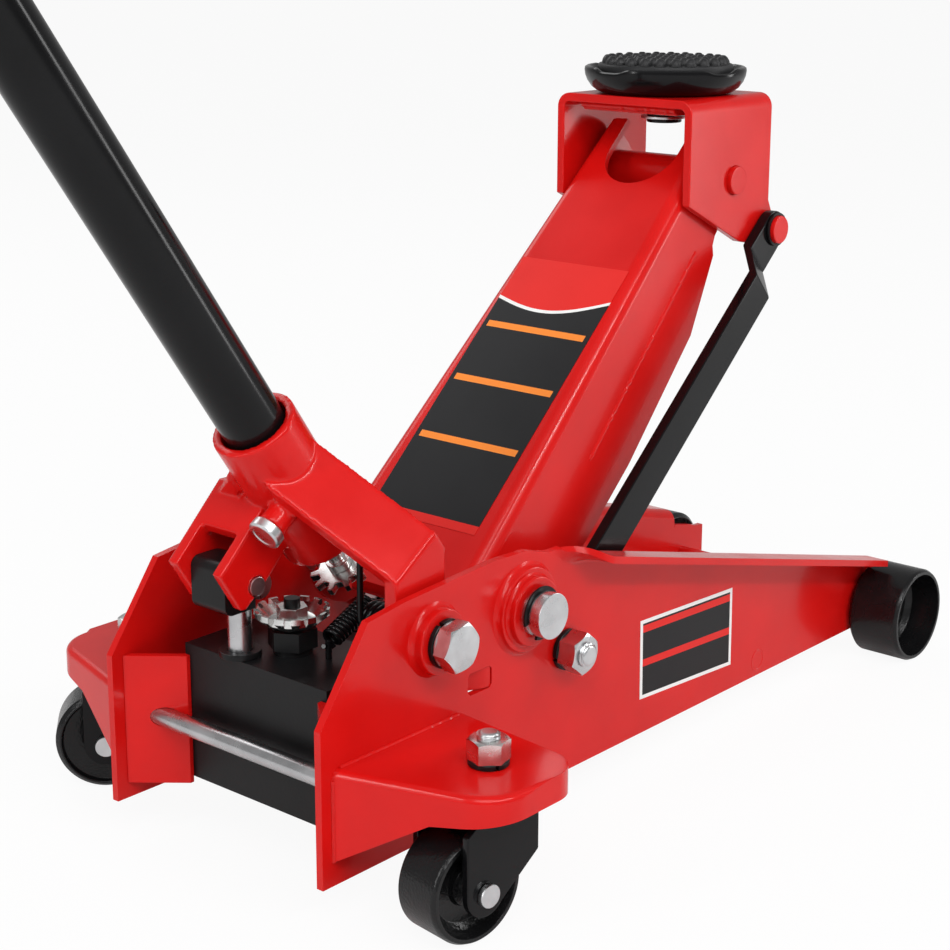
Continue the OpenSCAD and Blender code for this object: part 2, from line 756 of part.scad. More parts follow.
// Cast wheel turned about Y, open side to -Y, centred on the origin
module cast_wheel(d, w, bore, rim, depth) {
    r = d / 2;
    rotate([90, 0, 0]) rotate_extrude() polygon([[bore / 2 + run, -w / 2 + 1], [bore / 2 + 7, -w / 2 + 1],
        [bore / 2 + 7, -w / 2 + 6], [r - rim, -w / 2 + 3], [r - rim + 1, -w / 2], [r - 3, -w / 2],
        [r, -w / 2 + 3], [r, w / 2 - 3], [r - 1.5, w / 2], [r - rim + 1, w / 2],
        [r - rim - 1, w / 2 - depth + 4], [r - rim - 5, w / 2 - depth],
        [bore / 2 + 8, w / 2 - depth], [bore / 2 + 7, w / 2 - depth + 4],
        [bore / 2 + run, w / 2 - depth + 4]]);
}

module caster_wheel(turn) {
    caster_frame(turn) color(black) translate([-caster_trail, 0, caster_d / 2])
        cast_wheel(caster_d, caster_w, caster_axle_d, 5, 11);
}

module kingpins() {
    for (s = [0, 1]) mirror([0, s, 0]) color(zinc) translate([kingpin_x, -kingpin_y, 0]) union() {
        translate([0, 0, fork_top - fork_t - 7.3]) cylinder(d = 22, h = 7);
        translate([0, 0, fork_top - fork_t - 4]) cylinder(d = kingpin_d, h = wing_z + 20 - fork_top + fork_t + 4);
    }
}

module kingpin_nuts() {
    for (s = [0, 1]) mirror([0, s, 0]) color(zinc)
        translate([kingpin_x, -kingpin_y, wing_z + 3.5]) difference() {
            cylinder(d = 22 / cos(30), h = 12.5, $fn = 6);
            translate([0, 0, -1]) cylinder(d = kingpin_d + 2 * run, h = 20);
        }
}

module front_wheel() {
    color(black) translate([axle_x, -out_y - 2 - wheel_w / 2, axle_z])
        cast_wheel(wheel_d, wheel_w, axle_d, 5, 26);
}

placed() side_plate();  // side_plate_right
placed() left_side() side_plate();  // side_plate_left
placed() wing();  // wing_right
placed() left_side() wing();  // wing_left
placed() gusset();  // gusset_right
placed() left_side() gusset();  // gusset_left
placed() tie_rod();
placed() front_axle();
placed() arm_pin();
placed() arm_pin_clips();
placed() handle_bolts();
placed() spring_washers();
placed() link_studs();
placed() link_nuts();
placed() pump_block();
placed() cylinder_tube();  // cylinder
placed() cylinder_gland();
placed() ram();
placed() plunger_guide();
placed() plunger();
placed() valve_body();
placed() valve_stem();
placed() valve_gear();
placed() valve_nut();
placed() filler_plug();
placed() lift_arm();
placed() arm_lug_pin();
placed() saddle_bracket();
placed() bracket_stiffener();
placed() bracket_pin();
placed() link_pins();
placed() link_bar();  // link_right
placed() left_side() link_bar();  // link_left
placed() link_clips();
placed() saddle();
placed() saddle_pad();
placed() saddle_clip();
placed() yoke();
placed() lock_bolt();
placed() ear_pin();
placed() pump_shoe();
placed() spindle();
placed() spindle_gear();
placed() handle_tube();
placed() handle_grip();
placed() handle_cap();
placed() torsion_spring();
placed() return_spring();
placed() caster_fork(caster_turn_right);  // caster_fork_right
placed() left_side() caster_fork(caster_turn_left);  // caster_fork_left
placed() caster_wheel(caster_turn_right);  // caster_wheel_right
placed() left_side() caster_wheel(caster_turn_left);  // caster_wheel_left
placed() caster_axle(caster_turn_right);  // caster_axle_right
placed() left_side() caster_axle(caster_turn_left);  // caster_axle_left
placed() kingpins();
placed() kingpin_nuts();
placed() front_wheel();  // front_wheel_right
placed() left_side() front_wheel();  // front_wheel_left
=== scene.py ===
"""Looks of a hydraulic trolley jack: gloss red and black paint, zinc fasteners, rubber saddle pad."""
import json
import math

import bmesh
import bpy
from mathutils import Matrix, Vector, noise

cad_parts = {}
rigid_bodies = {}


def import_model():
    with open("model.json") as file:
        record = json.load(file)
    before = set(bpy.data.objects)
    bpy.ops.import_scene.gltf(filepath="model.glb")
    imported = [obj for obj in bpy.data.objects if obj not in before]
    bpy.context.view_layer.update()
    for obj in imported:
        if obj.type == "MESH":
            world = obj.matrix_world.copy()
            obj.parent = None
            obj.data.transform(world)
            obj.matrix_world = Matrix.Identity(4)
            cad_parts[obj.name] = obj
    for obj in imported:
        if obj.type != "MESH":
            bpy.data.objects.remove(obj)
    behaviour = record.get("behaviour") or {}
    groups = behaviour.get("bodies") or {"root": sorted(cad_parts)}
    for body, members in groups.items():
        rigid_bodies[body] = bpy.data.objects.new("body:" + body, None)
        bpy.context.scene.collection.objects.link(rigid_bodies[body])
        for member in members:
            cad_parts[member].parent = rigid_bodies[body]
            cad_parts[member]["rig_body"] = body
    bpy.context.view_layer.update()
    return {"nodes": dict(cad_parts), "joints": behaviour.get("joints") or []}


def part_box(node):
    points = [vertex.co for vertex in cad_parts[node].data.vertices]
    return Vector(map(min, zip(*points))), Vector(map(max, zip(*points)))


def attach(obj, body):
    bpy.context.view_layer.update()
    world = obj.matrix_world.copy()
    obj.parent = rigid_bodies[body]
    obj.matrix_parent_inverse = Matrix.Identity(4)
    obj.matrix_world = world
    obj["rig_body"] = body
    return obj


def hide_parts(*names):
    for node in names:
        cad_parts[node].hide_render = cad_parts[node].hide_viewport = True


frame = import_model()

MM = 0.001
NODES = frame["nodes"]
JOINTS = {j["name"]: j for j in frame["joints"]}
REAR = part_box("side_plate_right")[0].x
BASE = Matrix.Translation((REAR, 0, 0)) @ Matrix.Scale(MM, 4)


def pivot(joint):
    """Place of a hinge in millimetres from the side plates' rear edge."""
    x, y, z = JOINTS[joint]["pos_m"]
    return Vector(((x - REAR) / MM, y / MM, z / MM))


def size(node):
    """Lowest and highest corner of a CAD node in millimetres from the side plates' rear edge."""
    return [Vector(((c.x - REAR) / MM, c.y / MM, c.z / MM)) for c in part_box(node)]


ARM = pivot("arm_lift")
TIP = pivot("saddle_level")
STUD = pivot("link_right_swing")
BOLT = pivot("handle_pump")
GEAR = pivot("handle_twist")
ARM_LEN = (TIP - ARM).length
ARM_TURN = math.atan2(TIP.z - ARM.z, TIP.x - ARM.x)
TWIST = Vector(JOINTS["handle_twist"]["axis"])
TILT = math.atan2(-TWIST.x, TWIST.z)
PLATE_IN = size("tie_rod")[1].y + 9
PLATE_T = 5
PLATE_OUT = PLATE_IN + PLATE_T
AXLE_X = pivot("wheel_right_spin").x
WING_Z = size("wing_right")[1].z

# Sizes that no frame value gives, in millimetres, as the CAD draws them
BOLT_BOSS = 8
ARM_BOSSES = [(27, 5), (22, 10)]
BOLT_R, BOLT_FLATS, BOLT_HEAD = 9, 27, 11
STUD_R, NUT_FLATS, NUT_HEIGHT = 8, 24, 13
KINGPIN_R, KINGPIN_FLATS, KINGPIN_NUT = 7, 22, 12.5
ARM_PIN_R = 14.5
WASHER_T, KINGPIN_WASHER_T = 3.5, 3.1
FLANGE_START, FLANGE_END = 206, AXLE_X - 12.6
FLANGE_BEND = 6.5
SLOT_X, SLOT_Z, SLOT_CORNER = (124, 146), (105, 119), 2
ARM_FRAME = BASE @ Matrix.Translation(ARM) @ Matrix.Rotation(-ARM_TURN, 4, "Y")
YOKE_FRAME = BASE @ Matrix.Translation(GEAR) @ Matrix.Rotation(-TILT, 4, "Y")


# ---------------------------------------------------------------- camera, light and stage

MIRRORED_WHITE = 0.15

def camera():
    azimuth, elevation, roll = math.radians(-49.8), math.radians(14.05), math.radians(0.28)
    back = Vector((math.sin(azimuth) * math.cos(elevation),
                   -math.cos(azimuth) * math.cos(elevation), math.sin(elevation)))
    level = Vector((math.cos(azimuth), math.sin(azimuth), 0))
    upright = back.cross(level)
    right = math.cos(roll) * level + math.sin(roll) * upright
    up = back.cross(right)
    data = bpy.data.cameras.new("camera")
    data.sensor_width = 36
    data.lens = 74.5
    data.shift_x = -0.0191
    data.shift_y = -0.0609
    data.dof.use_dof = False
    cam = bpy.data.objects.new("camera", data)
    bpy.context.scene.collection.objects.link(cam)
    place = Matrix((right, up, back)).transposed().to_4x4()
    place.translation = BASE @ Vector((-708.9, -814.6, 553.9))
    cam.matrix_world = place
    bpy.context.scene.camera = cam


def area_light(name, place, aim, width, height, power):
    data = bpy.data.lights.new(name, "AREA")
    data.shape = "RECTANGLE"
    data.size = width
    data.size_y = height
    data.energy = power
    lamp = bpy.data.objects.new(name, data)
    bpy.context.scene.collection.objects.link(lamp)
    lamp.location = place
    lamp.rotation_mode = "QUATERNION"
    lamp.rotation_quaternion = (Vector(aim) - Vector(place)).to_track_quat("-Z", "Y")


def seen_ray(tree):
    """1 for camera and transmission rays, less for glossy ones, otherwise 0."""
    path = tree.nodes.new("ShaderNodeLightPath")
    mirrored = tree.nodes.new("ShaderNodeMath")
    mirrored.operation = "MULTIPLY"
    mirrored.inputs[1].default_value = MIRRORED_WHITE
    tree.links.new(path.outputs["Is Glossy Ray"], mirrored.inputs[0])
    both = tree.nodes.new("ShaderNodeMath")
    both.operation = "MAXIMUM"
    tree.links.new(path.outputs["Is Camera Ray"], both.inputs[0])
    tree.links.new(mirrored.outputs[0], both.inputs[1])
    every = tree.nodes.new("ShaderNodeMath")
    every.operation = "MAXIMUM"
    tree.links.new(both.outputs[0], every.inputs[0])
    tree.links.new(path.outputs["Is Transmission Ray"], every.inputs[1])
    return every.outputs[0]


def stage():
    scene = bpy.context.scene
    scene.view_settings.view_transform = "Standard"
    world = bpy.data.worlds.new("studio")
    scene.world = world
    world.use_nodes = True
    tree = world.node_tree
    strength = tree.nodes.new("ShaderNodeMapRange")
    strength.inputs["To Min"].default_value = 0.30
    strength.inputs["To Max"].default_value = 1.0
    tree.links.new(seen_ray(tree), strength.inputs["Value"])
    tree.links.new(strength.outputs[0], tree.nodes["Background"].inputs["Strength"])
    tree.nodes["Background"].inputs["Color"].default_value = (1, 1, 1, 1)

    bm = bmesh.new()
    bmesh.ops.create_grid(bm, x_segments=1, y_segments=1, size=40)
    mesh = bpy.data.meshes.new("floor")
    bm.to_mesh(mesh)
    bm.free()
    floor = bpy.data.objects.new("floor", mesh)
    scene.collection.objects.link(floor)
    mat = bpy.data.materials.new("floor")
    mat.use_nodes = True
    tree = mat.node_tree
    tree.nodes.clear()
    out = tree.nodes.new("ShaderNodeOutputMaterial")
    diffuse = tree.nodes.new("ShaderNodeBsdfDiffuse")
    diffuse.inputs["Color"].default_value = (0.86, 0.86, 0.86, 1)
    white = tree.nodes.new("ShaderNodeEmission")
    share = tree.nodes.new("ShaderNodeMath")
    share.operation = "MULTIPLY"
    share.inputs[1].default_value = 0.93
    tree.links.new(seen_ray(tree), share.inputs[0])
    mix = tree.nodes.new("ShaderNodeMixShader")
    tree.links.new(share.outputs[0], mix.inputs[0])
    tree.links.new(diffuse.outputs[0], mix.inputs[1])
    tree.links.new(white.outputs[0], mix.inputs[2])
    tree.links.new(mix.outputs[0], out.inputs["Surface"])
    mesh.materials.append(mat)

    area_light("key", (-1.7, -1.5, 2.7), (0.1, 0, 0.2), 1.8, 1.8, 46)
    area_light("edge_strip", (-0.2, -2.3, 2.1), (0.1, 0, 0.2), 1.9, 0.18, 30)
    area_light("side_strip", (2.1, -1.5, 1.0), (0.1, 0, 0.25), 0.3, 2.2, 17)
    area_light("left_strip", (-2.4, 0.5, 1.3), (0.0, 0, 0.2), 0.22, 2.0, 20)
    area_light("back_fill", (0.6, 2.2, 2.0), (0.1, 0, 0.2), 1.8, 1.2, 16)


# ---------------------------------------------------------------- materials

def paint(name, color, rough, metallic=0.0, coat=0.0, specular=0.5, grain=900.0, bump=0.04, stretch=(1, 1, 1),
          shade=0.12, patch=18.0, pits=0.0, depth=0.0002):
    """A finish with fine grain in its bump, and slow changes of tone and gloss."""
    mat = bpy.data.materials.new(name)
    mat.use_nodes = True
    tree = mat.node_tree
    shader = tree.nodes["Principled BSDF"]
    place = tree.nodes.new("ShaderNodeTexCoord")
    scaled = tree.nodes.new("ShaderNodeMapping")
    scaled.inputs["Scale"].default_value = stretch
    tree.links.new(place.outputs["Object"], scaled.inputs["Vector"])

    tone = tree.nodes.new("ShaderNodeTexNoise")
    tone.inputs["Scale"].default_value = patch
    tone.inputs["Detail"].default_value = 5
    tree.links.new(place.outputs["Object"], tone.inputs["Vector"])
    ramp = tree.nodes.new("ShaderNodeValToRGB")
    ramp.color_ramp.elements[0].position = 0.3
    ramp.color_ramp.elements[1].position = 0.7
    ramp.color_ramp.elements[0].color = [c * (1 - shade) for c in color] + [1]
    ramp.color_ramp.elements[1].color = [min(1, c * (1 + shade)) for c in color] + [1]
    tree.links.new(tone.outputs["Fac"], ramp.inputs["Fac"])
    tree.links.new(ramp.outputs["Color"], shader.inputs["Base Color"])
    gloss = tree.nodes.new("ShaderNodeMapRange")
    gloss.inputs["From Min"].default_value = 0.3
    gloss.inputs["From Max"].default_value = 0.7
    gloss.inputs["To Min"].default_value = rough * 0.82
    gloss.inputs["To Max"].default_value = min(1, rough * 1.2)
    tree.links.new(tone.outputs["Fac"], gloss.inputs["Value"])
    tree.links.new(gloss.outputs[0], shader.inputs["Roughness"])

    fine = tree.nodes.new("ShaderNodeTexNoise")
    fine.inputs["Scale"].default_value = grain
    fine.inputs["Detail"].default_value = 3
    tree.links.new(scaled.outputs[0], fine.inputs["Vector"])
    height = fine.outputs["Fac"]
    if pits:
        cells = tree.nodes.new("ShaderNodeTexVoronoi")
        cells.inputs["Scale"].default_value = pits
        tree.links.new(place.outputs["Object"], cells.inputs["Vector"])
        total = tree.nodes.new("ShaderNodeMath")
        total.operation = "ADD"
        tree.links.new(height, total.inputs[0])
        tree.links.new(cells.outputs["Distance"], total.inputs[1])
        height = total.outputs[0]
    relief = tree.nodes.new("ShaderNodeBump")
    relief.inputs["Strength"].default_value = bump
    relief.inputs["Distance"].default_value = depth
    tree.links.new(height, relief.inputs["Height"])
    tree.links.new(relief.outputs[0], shader.inputs["Normal"])
    shader.inputs["Metallic"].default_value = metallic
    shader.inputs["Specular IOR Level"].default_value = specular
    shader.inputs["Coat Weight"].default_value = coat
    shader.inputs["Coat Roughness"].default_value = 0.06
    return mat


RED = paint("red_gloss_paint", (0.62, 0.006, 0.005), 0.22, coat=0.12, specular=0.2, grain=260,
            bump=0.10, shade=0.07)
BLACK = paint("black_gloss_paint", (0.004, 0.004, 0.0045), 0.16, coat=0.05, specular=0.17, grain=300,
              bump=0.10, shade=0.25)
SATIN = paint("black_satin_paint", (0.0065, 0.0065, 0.007), 0.34, specular=0.2, grain=420, bump=0.25,
              shade=0.3)
CAST = paint("black_cast_paint", (0.006, 0.006, 0.0065), 0.26, coat=0.1, specular=0.25, grain=500,
             bump=0.25, pits=600, shade=0.35, depth=0.0005)
ZINC = paint("zinc_plate", (0.60, 0.61, 0.62), 0.30, metallic=1.0, grain=1400, bump=0.06, shade=0.14,
             patch=60)
BRIGHT = paint("bright_steel", (0.68, 0.68, 0.67), 0.24, metallic=1.0, grain=1100, bump=0.06,
               shade=0.2, patch=90)
ROD = paint("ground_steel_rod", (0.50, 0.50, 0.51), 0.27, metallic=1.0, grain=900, bump=0.06,
            stretch=(1, 0.04, 1), shade=0.15, patch=50)
RUBBER = paint("black_rubber", (0.010, 0.010, 0.011), 0.45, specular=0.35, grain=700, bump=0.4, shade=0.3)
LABEL_BLACK = paint("label_black", (0.007, 0.007, 0.008), 0.35, specular=0.2, bump=0.03, shade=0.1)
LABEL_RED = paint("label_red", (0.72, 0.014, 0.010), 0.35, specular=0.2, bump=0.03, shade=0.04)
LABEL_WHITE = paint("label_white", (0.84, 0.84, 0.83), 0.4, specular=0.35, bump=0.03, shade=0.03)
LABEL_ORANGE = paint("label_orange", (0.90, 0.24, 0.015), 0.4, specular=0.35, bump=0.03, shade=0.04)
LABEL_MATS = [LABEL_BLACK, LABEL_RED, LABEL_WHITE, LABEL_ORANGE]


# ---------------------------------------------------------------- mesh tools

def piece(name, bm, mats, body, stands_for=(), sharp=34, weighted=True):
    """Turns bm into an object on that body, smooth apart from edges sharper than the angle."""
    bmesh.ops.recalc_face_normals(bm, faces=bm.faces)
    for face in bm.faces:
        face.smooth = True
    for edge in bm.edges:
        if len(edge.link_faces) == 2:
            edge.smooth = edge.calc_face_angle() < math.radians(sharp)
    mesh = bpy.data.meshes.new(name)
    bm.to_mesh(mesh)
    bm.free()
    for mat in mats if isinstance(mats, (list, tuple)) else [mats]:
        mesh.materials.append(mat)
    thing = bpy.data.objects.new(name, mesh)
    bpy.context.scene.collection.objects.link(thing)
    if weighted:
        normals = thing.modifiers.new("normals", "WEIGHTED_NORMAL")
        normals.keep_sharp = True
    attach(thing, body)
    if stands_for:
        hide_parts(*stands_for)
    return thing


def body_of(node):
    return NODES[node]["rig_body"]


def cad_shape(node):
    """The node's mesh with its split corners joined and its flat faces whole."""
    bm = bmesh.new()
    bm.from_mesh(NODES[node].data)
    for face in bm.faces:
        face.material_index = 0
    bmesh.ops.remove_doubles(bm, verts=bm.verts, dist=2e-6)
    bmesh.ops.dissolve_limit(bm, angle_limit=math.radians(0.5), verts=bm.verts, edges=bm.edges)
    return bm


def round_edges(bm, width, segments=2, angle=32, chosen=lambda edge: True, clamp=True):
    edges = [e for e in bm.edges if len(e.link_faces) == 2
             and e.calc_face_angle() > math.radians(angle) and chosen(e)]
    bmesh.ops.bevel(bm, geom=edges, offset=width * MM, offset_type="OFFSET", segments=segments,
                    profile=0.5, affect="EDGES", clamp_overlap=clamp, loop_slide=True)


def from_cad(node, mat, width, segments=2):
    """The CAD node as it is, with its edges broken as a real one's are."""
    bm = cad_shape(node)
    if width:
        round_edges(bm, width, segments)
    return piece(node + "_finish", bm, mat, body_of(node), [node])


def put(bm, points, faces, matrix, index=0):
    verts = [bm.verts.new(matrix @ Vector(p)) for p in points]
    made = []
    for f in faces:
        face = bm.faces.new([verts[i] for i in f])
        face.material_index = index
        made.append(face)
    return made


def lathe(bm, profile, matrix, segments=48, start=0.0, sweep=360.0, rise=0.0, index=0):
    """Turns (radius, height) points about Z. A part turn is capped, and may climb by rise."""
    whole = sweep >= 360
    count = segments if whole else segments + 1
    rings = []
    for i in range(count):
        a = math.radians(start + sweep * i / segments)
        lift = rise * i / segments
        rings.append([(r * math.cos(a), r * math.sin(a), h + lift) for r, h in profile])
    n = len(profile)
    points = [p for ring in rings for p in ring]
    faces = []
    for i in range(segments):
        j = (i + 1) % count
        for k in range(n - 1 if whole else n):
            m = (k + 1) % n
            faces.append((i * n + k, j * n + k, j * n + m, i * n + m))
    if not whole:
        faces += [tuple(range(n))[::-1], tuple(segments * n + k for k in range(n))]
    put(bm, points, faces, matrix, index)
    bmesh.ops.remove_doubles(bm, verts=bm.verts, dist=1e-7)
    bmesh.ops.dissolve_degenerate(bm, dist=1e-8, edges=bm.edges)


def sweep_tube(bm, path, radius, matrix, sides=12, wobble=0.0, seed=0.0, index=0):
    """Round wire or weld bead along a path, with flat-capped ends. wobble makes it uneven."""
    path = [Vector(p) for p in path]
    tangents = [(path[min(i + 1, len(path) - 1)] - path[max(i - 1, 0)]).normalized()
                for i in range(len(path))]
    side = tangents[0].orthogonal().normalized()
    points = []
    for i, (p, t) in enumerate(zip(path, tangents)):
        side = (side - side.dot(t) * t).normalized()
        other = t.cross(side)
        r = radius * (1 + wobble * noise.noise(Vector((i * 0.45, seed, 0))))
        for k in range(sides):
            a = 2 * math.pi * k / sides
            points.append(p + r * (math.cos(a) * side + math.sin(a) * other))
    faces = []
    for i in range(len(path) - 1):
        for k in range(sides):
            m = (k + 1) % sides
            faces.append((i * sides + k, i * sides + m, (i + 1) * sides + m, (i + 1) * sides + k))
    last = (len(path) - 1) * sides
    faces += [tuple(range(sides))[::-1], tuple(last + k for k in range(sides))]
    put(bm, points, faces, matrix, index)


def prism(bm, outline, y0, y1, matrix, index=0):
    """XZ outline extruded along Y."""
    n = len(outline)
    points = [(x, y, z) for y in (y0, y1) for x, z in outline]
    faces = [tuple(range(n)), tuple(range(2 * n - 1, n - 1, -1))]
    faces += [(i, i + n, (i + 1) % n + n, (i + 1) % n) for i in range(n)]
    put(bm, points, faces, matrix, index)


def arc(cx, cz, r, a0, a1, n=10):
    return [(cx + r * math.cos(math.radians(a0 + (a1 - a0) * i / n)),
             cz + r * math.sin(math.radians(a0 + (a1 - a0) * i / n))) for i in range(n + 1)]


def boolean(base, tool, operation):
    """base with tool cut from it, joined to it, or kept in common. Frees tool."""
    things = []
    for bm in (base, tool):
        bmesh.ops.recalc_face_normals(bm, faces=bm.faces)
        mesh = bpy.data.meshes.new("scratch")
        bm.to_mesh(mesh)
        bm.free()
        thing = bpy.data.objects.new("scratch", mesh)
        bpy.context.scene.collection.objects.link(thing)
        things.append(thing)
    step = things[0].modifiers.new("cut", "BOOLEAN")
    step.operation = operation
    step.object = things[1]
    step.solver = "EXACT"
    return taken(things)


def taken(things):
    """The first thing's mesh with its modifiers as a bmesh. Removes the things."""
    bpy.context.view_layer.update()
    graph = bpy.context.evaluated_depsgraph_get()
    result = bmesh.new()
    result.from_object(things[0], graph)
    for thing in things:
        mesh = thing.data
        bpy.data.objects.remove(thing)
        bpy.data.meshes.remove(mesh)
    return result


def cast(bm, voxel, rounds):
    """Melts the shape's edges and inner corners as a casting's are."""
    mesh = bpy.data.meshes.new("scratch")
    bm.to_mesh(mesh)
    bm.free()
    thing = bpy.data.objects.new("scratch", mesh)
    bpy.context.scene.collection.objects.link(thing)
    grid = thing.modifiers.new("grid", "REMESH")
    grid.mode = "VOXEL"
    grid.voxel_size = voxel * MM
    soft = thing.modifiers.new("soft", "SMOOTH")
    soft.factor = 0.5
    soft.iterations = rounds
    return taken([thing])


def along_y(x, z, y, side=-1, base=BASE):
    """Frame at (x, y, z) whose Z points out of the jack on that side."""
    turn = Matrix.Rotation(math.radians(90 if side < 0 else -90), 4, "X")
    return base @ Matrix.Translation((x, side * y, z)) @ turn


def upward(x, y, z, base=BASE):
    return base @ Matrix.Translation((x, y, z))


def hex_head(bm, flats, height, matrix, turn=0.0, collar=0.0, hole=0.0):
    """Hexagon with the curved corners that a turned chamfer leaves."""
    steps = 8
    apothem = flats / 2
    flat_r = apothem * 0.97
    slope = math.tan(math.radians(30))
    ring = []
    for i in range(6 * steps):
        a = 60 / steps * i
        local = math.radians((a % 60) - 30)
        r = apothem / math.cos(local)
        ring.append((math.radians(a + turn), r))
    n = len(ring)
    rows = []
    rows.append([(hole * math.cos(a), hole * math.sin(a), height) for a, r in ring])
    rows.append([(flat_r * math.cos(a), flat_r * math.sin(a), height) for a, r in ring])
    rows.append([(r * math.cos(a), r * math.sin(a), height - (r - flat_r) * slope) for a, r in ring])
    rows.append([(r * math.cos(a), r * math.sin(a), collar) for a, r in ring])
    rows.append([(hole * math.cos(a), hole * math.sin(a), collar) for a, r in ring])
    points = [p for row in rows for p in row]
    faces = [(k * n + i, k * n + (i + 1) % n, (k + 1) * n + (i + 1) % n, (k + 1) * n + i)
             for k in range(len(rows) - 1) for i in range(n)]
    put(bm, points, faces, matrix)
    if collar:
        lathe(bm, [(0, 0), (apothem * 1.04, 0), (apothem * 1.04, collar), (0, collar)], matrix)


def thread(bm, r, z0, z1, matrix, pitch=1.75):
    """Stud end with a true helical thread and a chamfered tip."""
    segments = 32
    depth = pitch * 0.55
    turns = int((z1 - z0) / pitch)
    points = []
    for j in range(turns * 2 + 1):
        for i in range(segments):
            a = 2 * math.pi * i / segments
            z = min(z0 + (j / 2 + i / segments) * pitch, z1 - 1.4)
            rad = r if j % 2 else r - depth
            points.append((rad * math.cos(a), rad * math.sin(a), z))
    rows = turns * 2 + 1
    for shrink, z in ((1.0, z1 - 1.2), (1.6, z1 - 0.5), (3.2, z1)):
        rows += 1
        for i in range(segments):
            a = 2 * math.pi * i / segments
            points.append(((r - shrink) * math.cos(a), (r - shrink) * math.sin(a), z))
    faces = []
    for j in range(rows - 1):
        for i in range(segments):
            m = (i + 1) % segments
            if m or j >= turns * 2:
                faces.append((j * segments + i, j * segments + m, (j + 1) * segments + m,
                              (j + 1) * segments + i))
            elif j + 2 < rows:
                faces.append((j * segments + i, (j + 2) * segments, (j + 3) * segments
                              if j + 3 < turns * 2 + 1 else (j + 2) * segments,
                              (j + 1) * segments + i))
    faces.append(tuple((rows - 1) * segments + i for i in range(segments)))
    clean = [f for f in faces if len(set(f)) == len(f)]
    put(bm, points, clean, matrix)


def split_washer(bm, inner, outer, thick, matrix, start=70):
    """Spring washer with its slit and a slight climb."""
    edge = 0.5
    profile = [(inner, 0), (outer - edge, 0), (outer, edge), (outer, thick - edge),
               (outer - edge, thick), (inner, thick)]
    lathe(bm, profile, matrix, 40, start, 350, 0.35)


# ---------------------------------------------------------------- chassis

def smooth_step(x, a, b):
    t = min(1, max(0, (x - a) / (b - a)))
    return t * t * (3 - 2 * t)


def between(x, table):
    """Height at x on straight lines between the table's (x, z) points."""
    for (xa, za), (xb, zb) in zip(table, table[1:]):
        if x <= xb:
            return za + (zb - za) * (x - xa) / (xb - xa)
    return table[-1][1]


